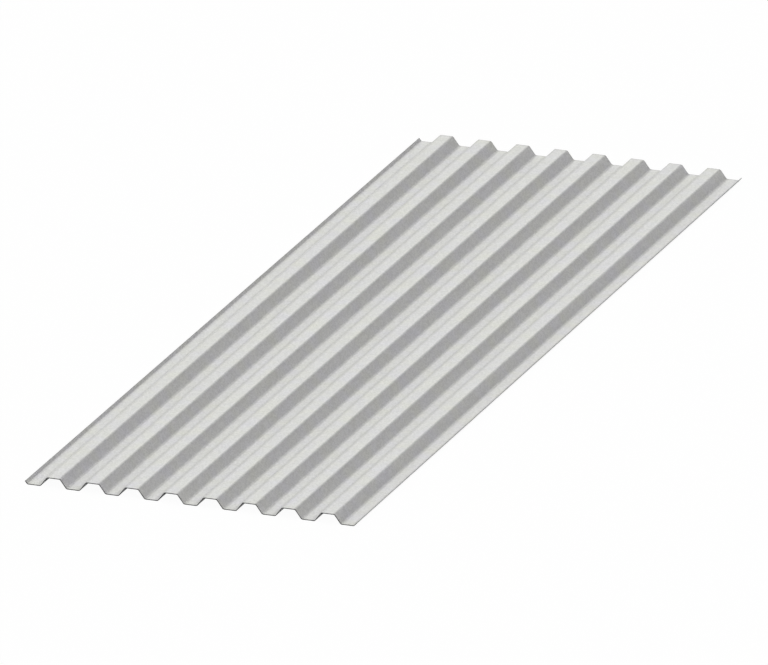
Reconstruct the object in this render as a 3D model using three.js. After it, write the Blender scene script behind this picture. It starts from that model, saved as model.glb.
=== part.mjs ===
// Trapezoidal roll-formed steel sheet: one strip of galvanised steel, folded along its length
// into flat-topped ribs, with a trough and a short turned-up lip along each side edge.
//
// Millimetres, +Z up. X runs across the ribs and Y along them. The sheet lies flat: the
// undersides of its troughs are at z = 0, and its middle is at x = 0, y = 0.
//
// The section is drawn along the middle of the steel. Widths and depths are measured there,
// between fold lines, which are the sharp corners where two flats would meet if the steel
// bent with no radius.

import * as THREE from 'three';

// Driving dimensions
const sheetLength = 3048; // cut length, along the ribs
const ribCount = 8;
const ribPitch = 114.3; // middle of one rib to the middle of the next
const ribDepth = 25.4; // trough to crest
const crestWidth = 38.1; // flat top of a rib
const troughWidth = 38.1; // flat between two ribs, and along each side edge
const lipRise = 9; // how far the edge of a side lip stands above the trough
const steelThickness = 2;
const insideBendRadius = 6; // hollow side of every fold

// Worked out from the driving dimensions
const halfThickness = steelThickness / 2;
const bendRadius = insideBendRadius + halfThickness;
const webRun = (ribPitch - crestWidth - troughWidth) / 2; // width that a sloping web covers
const lipRun = lipRise * webRun / ribDepth; // a lip slopes as the webs do
const troughHeight = halfThickness;
const crestHeight = troughHeight + ribDepth;
const stripEdge = ribCount * ribPitch / 2 + troughWidth / 2; // fold line of each side lip

// three.js draws an arc with twice this many straight steps.
const halfBendSteps = 3;

// The ends and fold lines of the section in order, from the left lip to the right one.
function sectionCorners() {
  const corners = [
    new THREE.Vector2(-stripEdge - lipRun, troughHeight + lipRise),
    new THREE.Vector2(-stripEdge, troughHeight),
  ];
  for (let rib = 0; rib < ribCount; rib += 1) {
    const middle = (rib - (ribCount - 1) / 2) * ribPitch;
    const crestEdge = crestWidth / 2;
    const webFoot = crestEdge + webRun;
    corners.push(new THREE.Vector2(middle - webFoot, troughHeight));
    corners.push(new THREE.Vector2(middle - crestEdge, crestHeight));
    corners.push(new THREE.Vector2(middle + crestEdge, crestHeight));
    corners.push(new THREE.Vector2(middle + webFoot, troughHeight));
  }
  corners.push(new THREE.Vector2(stripEdge, troughHeight));
  corners.push(new THREE.Vector2(stripEdge + lipRun, troughHeight + lipRise));
  return corners;
}

// Direction from one corner to the next, and the direction square to it on the upper side.
function flatDirections(from, to) {
  const along = to.clone().sub(from).normalize();
  const upward = new THREE.Vector2(-along.y, along.x);
  return { along, upward };
}

// The bend at a corner: the centre of its arcs, the angle where they start, the angle that
// they sweep, and whether the steel turns up (+1) or down (-1).
function bendAt(before, corner, after) {
  const arriving = flatDirections(before, corner);
  const leaving = flatDirections(corner, after);
  const sweep = Math.atan2(
    arriving.along.cross(leaving.along),
    arriving.along.dot(leaving.along),
  );
  const turn = Math.sign(sweep);
  const setback = bendRadius * Math.tan(Math.abs(sweep) / 2);
  const centre = corner.clone()
    .addScaledVector(arriving.along, -setback)
    .addScaledVector(arriving.upward, turn * bendRadius);
  const start = Math.atan2(-turn * arriving.upward.y, -turn * arriving.upward.x);
  return { centre, start, sweep, turn };
}

// The two corners of the strip's cut edge at the end of a flat, lower one first.
function cutEdge(end, upward) {
  const lower = end.clone().addScaledVector(upward, -halfThickness);
  const upper = end.clone().addScaledVector(upward, halfThickness);
  return [lower, upper];
}

// Closed outline of the section. It runs along the upper surface from left to right and back
// along the lower one. Each arc is joined to the one before it by a straight flat.
function sectionOutline() {
  const corners = sectionCorners();
  const bends = corners.slice(1, -1).map(
    (corner, index) => bendAt(corners[index], corner, corners[index + 2]),
  );
  const firstFlat = flatDirections(corners[0], corners[1]);
  const lastFlat = flatDirections(corners.at(-2), corners.at(-1));
  const [leftLower, leftUpper] = cutEdge(corners[0], firstFlat.upward);
  const [rightLower, rightUpper] = cutEdge(corners.at(-1), lastFlat.upward);

  const outline = new THREE.Shape();
  outline.moveTo(leftLower.x, leftLower.y);
  outline.lineTo(leftUpper.x, leftUpper.y);
  for (const { centre, start, sweep, turn } of bends) {
    const radius = bendRadius - turn * halfThickness;
    outline.absarc(centre.x, centre.y, radius, start, start + sweep, turn < 0);
  }
  outline.lineTo(rightUpper.x, rightUpper.y);
  outline.lineTo(rightLower.x, rightLower.y);
  for (const { centre, start, sweep, turn } of bends.toReversed()) {
    const radius = bendRadius + turn * halfThickness;
    outline.absarc(centre.x, centre.y, radius, start + sweep, start, turn > 0);
  }
  outline.closePath();
  return outline;
}

// Galvanised steel: pale grey zinc, dull enough to blur what it reflects.
const galvanisedSteel = new THREE.MeshStandardMaterial({
  color: 0xd3d4d2,
  metalness: 0.9,
  roughness: 0.45,
});

// The section is drawn upright and extruded towards the viewer, then laid down along Y.
function profiledSheet() {
  const geometry = new THREE.ExtrudeGeometry(sectionOutline(), {
    depth: sheetLength,
    bevelEnabled: false,
    curveSegments: halfBendSteps,
  });
  const sheet = new THREE.Mesh(geometry, galvanisedSteel);
  sheet.name = 'profiled_sheet';
  sheet.rotation.x = Math.PI / 2;
  sheet.position.y = sheetLength / 2;
  return sheet;
}

const corrugatedSheet = new THREE.Group();
corrugatedSheet.add(profiledSheet());

export default corrugatedSheet;
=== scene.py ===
"""Studio scene of a trapezoidal profiled sheet of galvanised steel, lying flat with its ribs up.

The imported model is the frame: it gives the sheet's outer size and its place. Everything here is
in metres, with X across the ribs, Y along them and Z up.
"""

import logging
import math
from collections.abc import Mapping
from dataclasses import dataclass
from enum import Enum
from typing import Any

import bpy
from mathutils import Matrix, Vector


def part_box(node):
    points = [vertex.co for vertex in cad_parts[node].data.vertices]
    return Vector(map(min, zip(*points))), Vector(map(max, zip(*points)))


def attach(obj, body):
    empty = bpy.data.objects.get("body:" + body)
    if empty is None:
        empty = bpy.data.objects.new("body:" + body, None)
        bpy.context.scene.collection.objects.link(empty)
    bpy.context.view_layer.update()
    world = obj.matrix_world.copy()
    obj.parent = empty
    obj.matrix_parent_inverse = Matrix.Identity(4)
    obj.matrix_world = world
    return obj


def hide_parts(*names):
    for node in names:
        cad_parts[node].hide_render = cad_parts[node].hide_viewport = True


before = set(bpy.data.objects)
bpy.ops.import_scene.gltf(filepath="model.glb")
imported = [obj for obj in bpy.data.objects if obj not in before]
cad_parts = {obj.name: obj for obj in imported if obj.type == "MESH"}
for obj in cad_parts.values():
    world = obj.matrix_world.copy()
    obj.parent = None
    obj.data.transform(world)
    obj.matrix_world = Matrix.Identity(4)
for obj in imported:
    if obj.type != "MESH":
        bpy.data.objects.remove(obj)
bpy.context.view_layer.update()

log = logging.getLogger("sheet")

MM = 0.001
SHEET_NODE = "profiled_sheet"

# Kinds of node that are used most, as Blender spells them.
MATH = "ShaderNodeMath"
VECTOR_MATH = "ShaderNodeVectorMath"
MAP_RANGE = "ShaderNodeMapRange"
NOISE = "ShaderNodeTexNoise"
COMBINE = "ShaderNodeCombineXYZ"

# The colour inputs and output of a mix node. It has several with each name, so they go by number.
MIX_SHARE, MIX_FIRST, MIX_SECOND = 0, 6, 7
MIXED_COLOUR = 2

# The middle of what a noise or a random colour gives, which runs from 0 to 1.
MIDDLE = 0.5


class SteelFace(Enum):
    """The two kinds of face on the sheet, by the number of their material."""

    COATED = 0
    SHEARED = 1


def linear(hex_colour: str) -> tuple[float, float, float, float]:
    """Turns an sRGB colour into the linear values that shaders use.

    Args:
        hex_colour: the colour as six hexadecimal digits, such as "c8cac9".

    Returns:
        Red, green, blue and an alpha of 1.
    """
    def channel(start: int) -> float:
        """One channel, from two of the digits."""
        value = int(hex_colour[start : start + 2], 16) / 255
        return value / 12.92 if value <= 0.04045 else ((value + 0.055) / 1.055) ** 2.4

    return channel(0), channel(2), channel(4), 1.0


def add_node(
    tree: bpy.types.NodeTree,
    kind: str,
    inputs: Mapping[str | int, Any] | tuple[Any, ...] = (),
    **settings: Any,
) -> bpy.types.Node:
    """Adds a node to a shader or geometry tree, with its settings and links.

    Args:
        tree: the tree that the node goes into.
        kind: the node's type, as Blender spells it.
        inputs: the inputs to fill, in order, or by name or number. Each gets a plain value, another
            node's output, or another node, which stands for its first output.
        **settings: properties of the node itself, such as operation="ADD".

    Returns:
        The new node.
    """
    node = tree.nodes.new(kind)
    for name, value in settings.items():
        setattr(node, name, value)
    filled = dict(enumerate(inputs)) if isinstance(inputs, tuple) else inputs
    for key, value in filled.items():
        source = value.outputs[0] if isinstance(value, bpy.types.Node) else value
        if isinstance(source, bpy.types.NodeSocket):
            tree.links.new(source, node.inputs[key])
        else:
            node.inputs[key].default_value = source
    return node


@dataclass(frozen=True)
class RibSection:
    """The folded section. Widths and depths run along the middle of the steel, between folds."""

    half_width: float
    rib_depth: float
    rib_count: int = 8
    rib_pitch: float = 114.3 * MM
    crest_width: float = 38.1 * MM
    trough_width: float = 38.1 * MM
    lip_rise: float = 9 * MM
    thickness: float = 2 * MM
    inside_bend_radius: float = 6 * MM

    @property
    def bend_radius(self) -> float:
        """Radius of each fold, along the middle of the steel."""
        return self.inside_bend_radius + self.thickness / 2

    @property
    def ribs_half_width(self) -> float:
        """From the middle of the sheet to the middle of the trough outside its last rib."""
        return self.rib_count * self.rib_pitch / 2


@dataclass(frozen=True)
class PaintedShadeStripe:
    """A darker stripe of painted shade, for the shade in a fold, beside a lip or along a cut end.

    It is at full strength between the second and third places, and gone at the first and fourth.
    """

    tone: float
    places: tuple[float, float, float, float]

    def shade(self, tree: bpy.types.NodeTree, distance: bpy.types.Node) -> bpy.types.Node:
        """Adds the stripe to a material.

        Args:
            tree: the material's tree.
            distance: the distance that the places are measured along.

        Returns:
            The stripe's tone at that distance, 0 outside it.
        """
        start, full, fading, end = self.places
        ramps = ((start, full, 0.0, self.tone), (fading, end, 1.0, 0.0))
        rise, fall = (
            add_node(
                tree, MAP_RANGE, (distance, low, high, before, after),
                interpolation_type="SMOOTHSTEP",
            )
            for low, high, before, after in ramps
        )
        return add_node(tree, MATH, (rise, fall), operation="MULTIPLY")


@dataclass(frozen=True)
class GalvanisedSteel:
    """Hot-dip galvanised sheet steel, passivated, with a small even spangle.

    The zinc froze into crystals that each catch the light a little differently, so the pale grey
    is softly mottled. Its thin dull oxide blurs reflections and drifts between warm and cool. The
    forming rolls left faint lines along the sheet. Stripes of painted shade darken the zinc in its
    folds and bends, beside its lips and along its cut ends.

    The places of the painted shade on the folds are measured from the middle of a trough. The
    others are measured outwards from the edge of a lip or from a cut end, so that negative ones lie
    on the faces and positive ones past their edge.
    """

    section: RibSection
    half_length: float

    warm_zinc: str = "c8c8c0"
    cool_zinc: str = "c6c5cd"
    tint_patch: float = 65 * MM
    tint_detail: float = 1.0
    tint_unevenness: float = 0.4

    spangle: float = 3.5 * MM
    spangle_stretch: float = 1.4
    spangle_raggedness: float = 1.8 * MM
    spangle_waves: float = 2.0
    spangle_wave_detail: float = 3.0
    spangle_tone: float = 0.2

    roller_line: float = 1.6 * MM
    roller_line_length: float = 600 * MM
    roller_detail: float = 2.0
    roller_tone: float = 0.02

    # Painted shade: darker stripes at the troughs' folds and over the crests' bends, where shade
    # falls.
    trough_painted_shade: tuple[PaintedShadeStripe, ...] = (
        PaintedShadeStripe(-0.235, (-20 * MM, -16.5 * MM, -16.5 * MM, -9.5 * MM)),
        PaintedShadeStripe(-0.21, (2 * MM, 16 * MM, 16 * MM, 20 * MM)),
    )
    crest_painted_shade: tuple[PaintedShadeStripe, ...] = (
        PaintedShadeStripe(-0.22, (-45 * MM, -39 * MM, -38 * MM, -35 * MM)),
        PaintedShadeStripe(-0.13, (35 * MM, 38 * MM, 40 * MM, 46 * MM)),
    )
    # Painted shade: darker beside each lip's fold and along its edge, thickening the dark line
    # there.
    lip_painted_shade: tuple[PaintedShadeStripe, ...] = (
        PaintedShadeStripe(-0.07, (-16 * MM, -11 * MM, -5 * MM, -3 * MM)),
        PaintedShadeStripe(-0.33, (-4 * MM, 0.0, 1 * MM, 2 * MM)),
    )
    # Painted shade: darker zinc along the cut ends, widening the shaded cut edge.
    end_painted_shade: tuple[PaintedShadeStripe, ...] = (PaintedShadeStripe(-0.5, (-4 * MM, 0.0, 1 * MM, 2 * MM)),)

    metal_share: float = 0.6
    roughness: float = 0.5
    spangle_roughness: float = 0.08
    relief: float = 0.05 * MM

    def build(self) -> bpy.types.Material:
        """Builds the finish.

        Returns:
            The material.
        """
        material = bpy.data.materials.new("hot_dip_galvanised_steel")
        material.use_nodes = True
        tree = material.node_tree
        place = add_node(tree, "ShaderNodeTexCoord").outputs["Object"]
        crystal, dome = self.spangle_pattern(tree, place)
        # The tone carries the random crystals and the painted shade along the folds, lips and ends.
        tone = add_node(
            tree, MATH, (crystal, self.spangle_tone, self.painted_shade_stripes(tree, place)),
            operation="MULTIPLY_ADD",
        )
        tone = add_node(
            tree, MATH, (self.roller_lines(tree, place), self.roller_tone, tone),
            operation="MULTIPLY_ADD",
        )
        colour = add_node(
            tree, VECTOR_MATH, {0: self.tint(tree, place), "Scale": tone}, operation="SCALE"
        )
        gloss = add_node(
            tree, MATH, (crystal, self.spangle_roughness, self.roughness), operation="MULTIPLY_ADD"
        )
        bump = add_node(tree, "ShaderNodeBump", {"Height": dome, "Distance": self.relief})
        shader = tree.nodes["Principled BSDF"]
        shader.inputs["Metallic"].default_value = self.metal_share
        tree.links.new(colour.outputs[0], shader.inputs["Base Color"])
        tree.links.new(gloss.outputs[0], shader.inputs["Roughness"])
        tree.links.new(bump.outputs[0], shader.inputs["Normal"])
        return material

    def tint(self, tree: bpy.types.NodeTree, place: bpy.types.NodeSocket) -> bpy.types.NodeSocket:
        """Adds the drift of the zinc between warm and cool.

        Args:
            tree: the material's tree.
            place: the point on the sheet.

        Returns:
            The zinc's colour at that point, before any tone.
        """
        patches = add_node(
            tree, NOISE,
            {
                "Vector": place, "Scale": 1 / self.tint_patch, "Detail": self.tint_detail,
                "Roughness": self.tint_unevenness,
            },
        )
        zinc = add_node(
            tree, "ShaderNodeMix",
            {
                MIX_SHARE: patches, MIX_FIRST: linear(self.warm_zinc),
                MIX_SECOND: linear(self.cool_zinc),
            },
            data_type="RGBA",
        )
        return zinc.outputs[MIXED_COLOUR]

    def painted_shade_stripes(self, tree: bpy.types.NodeTree, place: bpy.types.NodeSocket) -> bpy.types.Node:
        """Adds the stripes of painted shade along the folds, the lips and the ends.

        Args:
            tree: the material's tree.
            place: the point on the sheet.

        Returns:
            The zinc's brightness at that point after the painted shade, 1 where there is none.
        """
        spot = add_node(tree, "ShaderNodeSeparateXYZ", (place,)).outputs
        section, half_pitch = self.section, self.section.rib_pitch / 2
        from_trough = add_node(tree, MATH, (spot["X"], half_pitch, -half_pitch), operation="WRAP")
        across = add_node(tree, MATH, (spot["X"],), operation="ABSOLUTE")
        along = add_node(tree, MATH, (spot["Y"],), operation="ABSOLUTE")
        from_lip = add_node(tree, MATH, (across, section.half_width), operation="SUBTRACT")
        from_end = add_node(tree, MATH, (along, self.half_length), operation="SUBTRACT")
        on_ribs = add_node(tree, MATH, (across, section.ribs_half_width), operation="LESS_THAN")
        # Painted shade in the folds, on the ribs only; the lips and the ends get their own below.
        folds = 0.0
        for shade_stripe in self.trough_painted_shade + self.crest_painted_shade:
            folds = add_node(tree, MATH, (shade_stripe.shade(tree, from_trough), folds), operation="ADD")
        bright = add_node(tree, MATH, (folds, on_ribs, 1.0), operation="MULTIPLY_ADD")
        for distance, shade_stripes in ((from_lip, self.lip_painted_shade), (from_end, self.end_painted_shade)):
            for shade_stripe in shade_stripes:
                bright = add_node(tree, MATH, (bright, shade_stripe.shade(tree, distance)), operation="ADD")
        return bright

    def spangle_pattern(
        self, tree: bpy.types.NodeTree, place: bpy.types.NodeSocket
    ) -> tuple[bpy.types.Node, bpy.types.Node]:
        """Adds the crystals of the zinc, with ragged borders.

        Args:
            tree: the material's tree.
            place: the point on the sheet.

        Returns:
            A random number for each crystal, from -0.5 to 0.5, and how far the zinc domes up, from
            0 at the middle of a crystal down to about -1 at its border.
        """
        shortened = (1.0, 1 / self.spangle_stretch, 1.0)
        drawn = add_node(tree, VECTOR_MATH, (place, shortened), operation="MULTIPLY")
        ragged = add_node(
            tree, NOISE,
            {
                "Vector": drawn, "Scale": self.spangle_waves / self.spangle,
                "Detail": self.spangle_wave_detail,
            },
        )
        centred = add_node(
            tree, VECTOR_MATH, (ragged.outputs["Color"], (MIDDLE,) * 3), operation="SUBTRACT"
        )
        shifted = add_node(
            tree, VECTOR_MATH, (centred, (self.spangle_raggedness,) * 3, drawn),
            operation="MULTIPLY_ADD",
        )
        cells = add_node(
            tree, "ShaderNodeTexVoronoi", {"Vector": shifted, "Scale": 1 / self.spangle}
        ).outputs
        channels = add_node(tree, "ShaderNodeSeparateColor", (cells["Color"],))
        crystal = add_node(tree, MATH, (channels, MIDDLE), operation="SUBTRACT")
        dome = add_node(tree, MATH, (cells["Distance"], -1.0), operation="MULTIPLY")
        return crystal, dome

    def roller_lines(self, tree: bpy.types.NodeTree, place: bpy.types.NodeSocket) -> bpy.types.Node:
        """Adds the faint lines that the rolls left along the sheet.

        Args:
            tree: the material's tree.
            place: the point on the sheet.

        Returns:
            The lines' tone at that point, from -0.5 to 0.5.
        """
        waves = (1 / self.roller_line, 1 / self.roller_line_length, 1 / self.roller_line)
        pulled = add_node(tree, VECTOR_MATH, (place, waves), operation="MULTIPLY")
        lines = add_node(
            tree, NOISE, {"Vector": pulled, "Scale": 1.0, "Detail": self.roller_detail}
        )
        return add_node(tree, MATH, (lines, MIDDLE), operation="SUBTRACT")


@dataclass(frozen=True)
class ShearedEdge:
    """Bare steel where the sheet was cut to length: dark and torn beside the zinc, with painted
    shade that makes it near black.

    The shear broke the steel into fine grains, so the edge is dull, with a few smeared spots that
    shine a little. The grains are drawn at twice their real size, or none would show.
    """

    # Painted shade: both steels are near black, darker than bare steel, for the shade on the cut
    # faces.
    torn_steel_and_shade: str = "191a1c"
    smeared_steel_and_shade: str = "3a3b3e"
    grain: float = 0.4 * MM
    grain_detail: float = 2.0
    grain_depth: float = 0.04 * MM
    torn_roughness: float = 0.7
    smeared_roughness: float = 0.45
    metal_share: float = 1.0

    def build(self) -> bpy.types.Material:
        """Builds the finish.

        Returns:
            The material.
        """
        material = bpy.data.materials.new("sheared_steel_edge")
        material.use_nodes = True
        tree = material.node_tree
        place = add_node(tree, "ShaderNodeTexCoord").outputs["Object"]
        grains = add_node(
            tree, NOISE,
            {"Vector": place, "Scale": 1 / self.grain, "Detail": self.grain_detail},
        )
        colour = add_node(
            tree, "ShaderNodeMix",
            {
                MIX_SHARE: grains, MIX_FIRST: linear(self.torn_steel_and_shade),
                MIX_SECOND: linear(self.smeared_steel_and_shade),
            },
            data_type="RGBA",
        )
        gloss = add_node(
            tree, MAP_RANGE,
            {"Value": grains, "To Min": self.torn_roughness, "To Max": self.smeared_roughness},
        )
        bump = add_node(tree, "ShaderNodeBump", {"Height": grains, "Distance": self.grain_depth})
        shader = tree.nodes["Principled BSDF"]
        shader.inputs["Metallic"].default_value = self.metal_share
        tree.links.new(colour.outputs[MIXED_COLOUR], shader.inputs["Base Color"])
        tree.links.new(gloss.outputs[0], shader.inputs["Roughness"])
        tree.links.new(bump.outputs[0], shader.inputs["Normal"])
        return material


@dataclass
class FoldedSheet:
    """The sheet itself: a flat strip of steel that is folded along its length into ribs."""

    section: RibSection
    length: float
    bend_steps: int = 8
    length_steps: int = 24
    edge_round: float = 0.15 * MM
    edge_round_steps: int = 2
    edge_angle: float = 60.0
    end_face_slope: float = 0.5

    def folding_tree(self) -> bpy.types.NodeTree:
        """Builds the geometry nodes that fold the strip's middle surface.

        Returns:
            A tree with a named input for each size.
        """
        tree = bpy.data.node_groups.new("roll_formed_strip", "GeometryNodeTree")
        tree.is_modifier = True
        for name, kind in (
            ("Length", "Float"), ("Rib Count", "Int"), ("Rib Pitch", "Float"),
            ("Rib Depth", "Float"), ("Crest Width", "Float"), ("Trough Width", "Float"),
            ("Lip Rise", "Float"), ("Thickness", "Float"), ("Bend Radius", "Float"),
            ("Bend Steps", "Int"), ("Length Steps", "Int"), ("Material", "Material"),
        ):
            tree.interface.new_socket(name, in_out="INPUT", socket_type=f"NodeSocket{kind}")
        tree.interface.new_socket("Geometry", in_out="OUTPUT", socket_type="NodeSocketGeometry")
        size = add_node(tree, "NodeGroupInput").outputs
        path = self.section_path(tree, size)
        half_length = add_node(tree, MATH, (size["Length"], 0.5), operation="MULTIPLY")
        behind = add_node(tree, MATH, (half_length, -1.0), operation="MULTIPLY")
        start, end = (add_node(tree, COMBINE, (reach,)) for reach in (behind, half_length))
        line = add_node(tree, "GeometryNodeCurvePrimitiveLine", {"Start": start, "End": end})
        stations = add_node(tree, MATH, (size["Length Steps"], 1.0), operation="ADD")
        rail = add_node(tree, "GeometryNodeResampleCurve", {"Curve": line, "Count": stations})
        swept = add_node(tree, "GeometryNodeCurveToMesh", {"Curve": path, "Profile Curve": rail})
        smooth = add_node(tree, "GeometryNodeSetShadeSmooth", {"Geometry": swept})
        real = add_node(tree, "GeometryNodeRealizeInstances", {"Geometry": smooth})
        dressed = add_node(
            tree, "GeometryNodeSetMaterial", {"Geometry": real, "Material": size["Material"]}
        )
        add_node(tree, "NodeGroupOutput", {"Geometry": dressed})
        return tree

    def section_path(
        self, tree: bpy.types.NodeTree, size: Mapping[str, bpy.types.NodeSocket]
    ) -> bpy.types.Node:
        """Draws the middle line of the folded section, from the left lip to the right one.

        Args:
            tree: the geometry tree.
            size: the tree's inputs, by name.

        Returns:
            The line, with its folds rounded.
        """
        trough_z = add_node(tree, MATH, (size["Thickness"], 0.5), operation="MULTIPLY")
        crest_z = add_node(tree, MATH, (trough_z, size["Rib Depth"]), operation="ADD")
        flats = add_node(tree, MATH, (size["Crest Width"], size["Trough Width"]), operation="ADD")
        webs = add_node(tree, MATH, (size["Rib Pitch"], flats), operation="SUBTRACT")
        web_run = add_node(tree, MATH, (webs, 0.5), operation="MULTIPLY")
        crest_edge = add_node(tree, MATH, (size["Crest Width"], 0.5), operation="MULTIPLY")
        web_foot = add_node(tree, MATH, (crest_edge, web_run), operation="ADD")
        ribs = add_node(tree, MATH, (size["Rib Count"], size["Rib Pitch"]), operation="MULTIPLY")
        strip = add_node(tree, MATH, (ribs, size["Trough Width"]), operation="ADD")
        lip_fold = add_node(tree, MATH, (strip, 0.5), operation="MULTIPLY")
        slope = add_node(tree, MATH, (size["Rib Depth"], web_run), operation="DIVIDE")
        lip_run = add_node(tree, MATH, (size["Lip Rise"], slope), operation="DIVIDE")
        lip_edge = add_node(tree, MATH, (lip_fold, lip_run), operation="ADD")
        lip_z = add_node(tree, MATH, (trough_z, size["Lip Rise"]), operation="ADD")
        rib = self.mirrored_corners(tree, (crest_edge, crest_z), (web_foot, trough_z))
        lips = self.mirrored_corners(tree, (lip_fold, trough_z), (lip_edge, lip_z))

        index = add_node(tree, "GeometryNodeInputIndex")
        last_rib = add_node(tree, MATH, (size["Rib Count"], 1.0), operation="SUBTRACT")
        middle_rib = add_node(tree, MATH, (last_rib, 0.5), operation="MULTIPLY")
        from_middle = add_node(tree, MATH, (index, middle_rib), operation="SUBTRACT")
        rib_x = add_node(tree, MATH, (from_middle, size["Rib Pitch"]), operation="MULTIPLY")
        middles = add_node(
            tree, "GeometryNodePoints",
            {"Count": size["Rib Count"], "Position": add_node(tree, COMBINE, (rib_x,))},
        )
        copies = add_node(
            tree, "GeometryNodeInstanceOnPoints", {"Points": middles, "Instance": rib}
        )
        joined = add_node(tree, "GeometryNodeJoinGeometry")
        for points in (add_node(tree, "GeometryNodeRealizeInstances", (copies,)), lips):
            tree.links.new(points.outputs[0], joined.inputs[0])
        place = add_node(tree, "GeometryNodeInputPosition")
        across = add_node(tree, "ShaderNodeSeparateXYZ", (place,)).outputs["X"]
        path = add_node(tree, "GeometryNodePointsToCurves", {"Points": joined, "Weight": across})
        return add_node(
            tree, "GeometryNodeFilletCurve",
            {"Curve": path, "Count": size["Bend Steps"], "Radius": size["Bend Radius"]},
            mode="POLY",
        )

    def mirrored_corners(
        self, tree: bpy.types.NodeTree, *corners: tuple[bpy.types.Node, bpy.types.Node]
    ) -> bpy.types.Node:
        """Adds loose points at corners of the section, on the right and mirrored on the left.

        Args:
            tree: the geometry tree.
            *corners: the X and Z of each corner on the right, from the middle outwards.

        Returns:
            The points, from left to right.
        """
        left = [
            (add_node(tree, MATH, (x, -1.0), operation="MULTIPLY"), z) for x, z in reversed(corners)
        ]
        spots = [add_node(tree, COMBINE, {"X": x, "Z": z}) for x, z in (*left, *corners)]
        pick = add_node(tree, "GeometryNodeIndexSwitch", data_type="VECTOR")
        while len(pick.index_switch_items) < len(spots):
            pick.index_switch_items.new()
        for number, source in enumerate((add_node(tree, "GeometryNodeInputIndex"), *spots)):
            tree.links.new(source.outputs[0], pick.inputs[number])
        return add_node(tree, "GeometryNodePoints", {"Count": len(spots), "Position": pick})

    def build(self, zinc: bpy.types.Material, edge: bpy.types.Material) -> bpy.types.Object:
        """Folds the strip, gives it its thickness and its cut edges, and makes it a plain mesh.

        Args:
            zinc: the finish of the faces.
            edge: the finish of the cut edges.

        Returns:
            The finished sheet.
        """
        source = bpy.data.objects.new("strip_source", bpy.data.meshes.new("strip_blank"))
        bpy.context.scene.collection.objects.link(source)
        self.fold(source, zinc)
        body = source.modifiers.new("thickness", "SOLIDIFY")
        body.thickness, body.offset = self.section.thickness, 0.0
        body.use_even_offset = body.use_quality_normals = True
        rounding = source.modifiers.new("edge_round", "BEVEL")
        rounding.width, rounding.segments = self.edge_round, self.edge_round_steps
        rounding.limit_method, rounding.angle_limit = "ANGLE", math.radians(self.edge_angle)
        source.modifiers.new("flat_shading", "WEIGHTED_NORMAL").keep_sharp = True
        graph = bpy.context.evaluated_depsgraph_get()
        mesh = bpy.data.meshes.new_from_object(
            source.evaluated_get(graph), preserve_all_data_layers=True, depsgraph=graph
        )
        bpy.data.objects.remove(source)
        mesh.name = "folded_sheet"
        # The strip brings the zinc as its first material, so this one is its second.
        mesh.materials.append(edge)
        for face in mesh.polygons:
            cut = abs(face.normal.y) > self.end_face_slope
            face.material_index = (SteelFace.SHEARED if cut else SteelFace.COATED).value
        sheet = bpy.data.objects.new("folded_sheet", mesh)
        bpy.context.scene.collection.objects.link(sheet)
        return sheet

    def fold(self, source: bpy.types.Object, zinc: bpy.types.Material) -> None:
        """Adds the modifier that folds the strip, with this sheet's sizes.

        Args:
            source: the object that gets it.
            zinc: the finish of the strip.
        """
        tree = self.folding_tree()
        folding = source.modifiers.new("folding", "NODES")
        folding.node_group = tree
        section = self.section
        sizes = {
            "Length": self.length, "Rib Count": section.rib_count, "Rib Pitch": section.rib_pitch,
            "Rib Depth": section.rib_depth, "Crest Width": section.crest_width,
            "Trough Width": section.trough_width, "Lip Rise": section.lip_rise,
            "Thickness": section.thickness, "Bend Radius": section.bend_radius,
            "Bend Steps": self.bend_steps, "Length Steps": self.length_steps, "Material": zinc,
        }
        for socket in tree.interface.items_tree:
            if socket.in_out == "INPUT":
                folding[socket.identifier] = sizes[socket.name]


@dataclass(frozen=True)
class LightBank:
    """A broad bank of lamps behind diffusers, far away, brightest in its middle.

    Azimuth turns anticlockwise from +Y, as seen from above. The spread is the angle from the
    bank's middle to its rim, where its light has faded out.
    """

    azimuth: float
    elevation: float
    strength: float
    tint: str
    spread: float = 60.0

    def shade(self, tree: bpy.types.NodeTree, direction: bpy.types.NodeSocket) -> bpy.types.Node:
        """Adds the bank to the sky.

        Args:
            tree: the world's tree.
            direction: the direction that a ray looks in.

        Returns:
            The bank's light from that direction, as a shader.
        """
        turn, rise = math.radians(self.azimuth), math.radians(self.elevation)
        middle = (
            -math.sin(turn) * math.cos(rise), math.cos(turn) * math.cos(rise), math.sin(rise)
        )
        towards = add_node(tree, VECTOR_MATH, (direction, middle), operation="DOT_PRODUCT")
        strength = add_node(
            tree, MAP_RANGE,
            {
                "Value": towards.outputs["Value"],
                "From Min": math.cos(math.radians(self.spread)), "From Max": 1.0,
                "To Max": self.strength,
            },
            interpolation_type="SMOOTHSTEP",
        )
        return add_node(
            tree, "ShaderNodeBackground", {"Color": linear(self.tint), "Strength": strength}
        )


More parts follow.
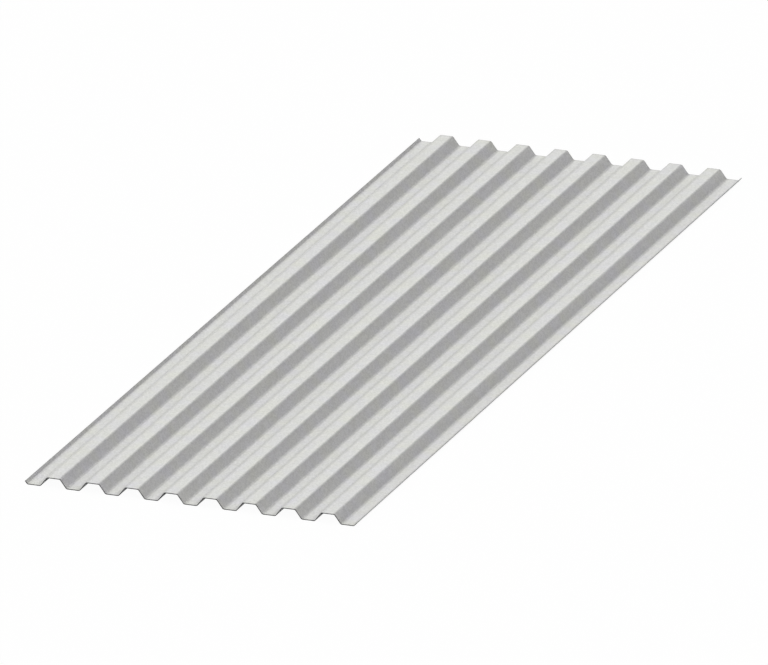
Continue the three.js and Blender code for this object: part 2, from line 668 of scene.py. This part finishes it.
@dataclass
class Studio:
    """A white floor under an even sky, between two facing banks of lamps, and a third above.

    The light comes from far away, so the floor is equally bright all over.
    """

    floor_half: float = 80.0
    floor_gap: float = 0.2 * MM
    floor_paint: str = "fbfbfb"
    backdrop: str = "fefefe"
    shadow_lift: float = 0.97
    sky: float = 0.29
    sky_tint: str = "ffffff"
    key: LightBank = LightBank(azimuth=45.0, elevation=30.0, strength=1.0, tint="fdfff8")
    fill: LightBank = LightBank(azimuth=-135.0, elevation=30.0, strength=0.81, tint="ffffff")
    overhead: LightBank = LightBank(azimuth=0.0, elevation=90.0, strength=1.08, tint="ffffff")

    def build_floor(self) -> bpy.types.Object:
        """Makes the floor that the sheet lies on.

        Returns:
            The floor.
        """
        half = self.floor_half
        corners = [
            (x * half, y * half, -self.floor_gap) for x, y in ((-1, -1), (1, -1), (1, 1), (-1, 1))
        ]
        mesh = bpy.data.meshes.new("studio_floor")
        mesh.from_pydata(corners, [], [(0, 1, 2, 3)])
        mesh.materials.append(self.floor_material())
        floor = bpy.data.objects.new("studio_floor", mesh)
        bpy.context.scene.collection.objects.link(floor)
        return floor

    def floor_material(self) -> bpy.types.Material:
        """Builds the floor's white paint.

        Returns:
            The material. Most of what the viewer sees of it is plain backdrop, which keeps shadows
            faint.
        """
        material = bpy.data.materials.new("studio_white_paint")
        material.use_nodes = True
        tree = material.node_tree
        tree.nodes.clear()
        paint = add_node(tree, "ShaderNodeBsdfDiffuse", {"Color": linear(self.floor_paint)})
        backdrop = add_node(tree, "ShaderNodeEmission", {"Color": linear(self.backdrop)})
        seen = add_node(tree, "ShaderNodeLightPath").outputs["Is Camera Ray"]
        share = add_node(tree, MATH, (seen, self.shadow_lift), operation="MULTIPLY")
        both = add_node(tree, "ShaderNodeMixShader", (share, paint, backdrop))
        add_node(tree, "ShaderNodeOutputMaterial", {"Surface": both})
        return material

    def build_sky(self) -> None:
        """Lights the scene from all round. The viewer sees the sky as the plain backdrop."""
        world = bpy.data.worlds.new("soft_sky")
        world.use_nodes = True
        tree = world.node_tree
        tree.nodes.clear()
        direction = add_node(tree, "ShaderNodeTexCoord").outputs["Generated"]
        light = add_node(
            tree, "ShaderNodeBackground", {"Color": linear(self.sky_tint), "Strength": self.sky}
        )
        for bank in (self.key, self.fill, self.overhead):
            light = add_node(tree, "ShaderNodeAddShader", (light, bank.shade(tree, direction)))
        backdrop = add_node(tree, "ShaderNodeBackground", {"Color": linear(self.backdrop)})
        seen = add_node(tree, "ShaderNodeLightPath").outputs["Is Camera Ray"]
        both = add_node(tree, "ShaderNodeMixShader", (seen, light, backdrop))
        add_node(tree, "ShaderNodeOutputWorld", {"Surface": both})
        bpy.context.scene.world = world


@dataclass
class ViewCamera:
    """A long lens far away, so that the sheet's edges stay almost parallel.

    Its clipping distances are shares of its distance from the sheet.
    """

    azimuth: float = 20.696
    elevation: float = 19.482
    lens_mm: float = 1480.0
    sensor_mm: float = 36.0
    view_width: float = 2.12316
    aim: tuple[float, float, float] = (-0.01019, -0.00567, -0.00482)
    clip_shares: tuple[float, float] = (0.1, 3.0)

    def build(self) -> bpy.types.Object:
        """Makes the camera and looks through it.

        Returns:
            The camera.
        """
        turn, rise = math.radians(self.azimuth), math.radians(self.elevation)
        back = Vector(
            (math.sin(turn) * math.cos(rise), -math.cos(turn) * math.cos(rise), math.sin(rise))
        )
        data = bpy.data.cameras.new("view_camera")
        data.lens, data.sensor_width = self.lens_mm, self.sensor_mm
        distance = self.view_width * self.lens_mm / self.sensor_mm
        data.clip_start, data.clip_end = (share * distance for share in self.clip_shares)
        camera = bpy.data.objects.new("view_camera", data)
        camera.location = Vector(self.aim) + back * distance
        camera.rotation_euler = back.to_track_quat("Z", "Y").to_euler()
        bpy.context.scene.collection.objects.link(camera)
        bpy.context.scene.camera = camera
        return camera


def main() -> None:
    """Builds the scene in order and reports the sheet's faces."""
    logging.basicConfig(level=logging.INFO, format="%(name)s: %(message)s")
    bpy.context.scene.view_settings.view_transform = "Standard"
    low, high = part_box(SHEET_NODE)
    ViewCamera().build()
    studio = Studio()
    studio.build_floor()
    studio.build_sky()
    section = RibSection(half_width=high.x, rib_depth=high.z - low.z - RibSection.thickness)
    zinc = GalvanisedSteel(section, half_length=high.y).build()
    sheet = FoldedSheet(section, length=high.y - low.y).build(zinc, ShearedEdge().build())
    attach(sheet, "root")
    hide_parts(SHEET_NODE)
    log.info("%s: %d faces", sheet.name, len(sheet.data.polygons))


if __name__ == "__main__":
    main()
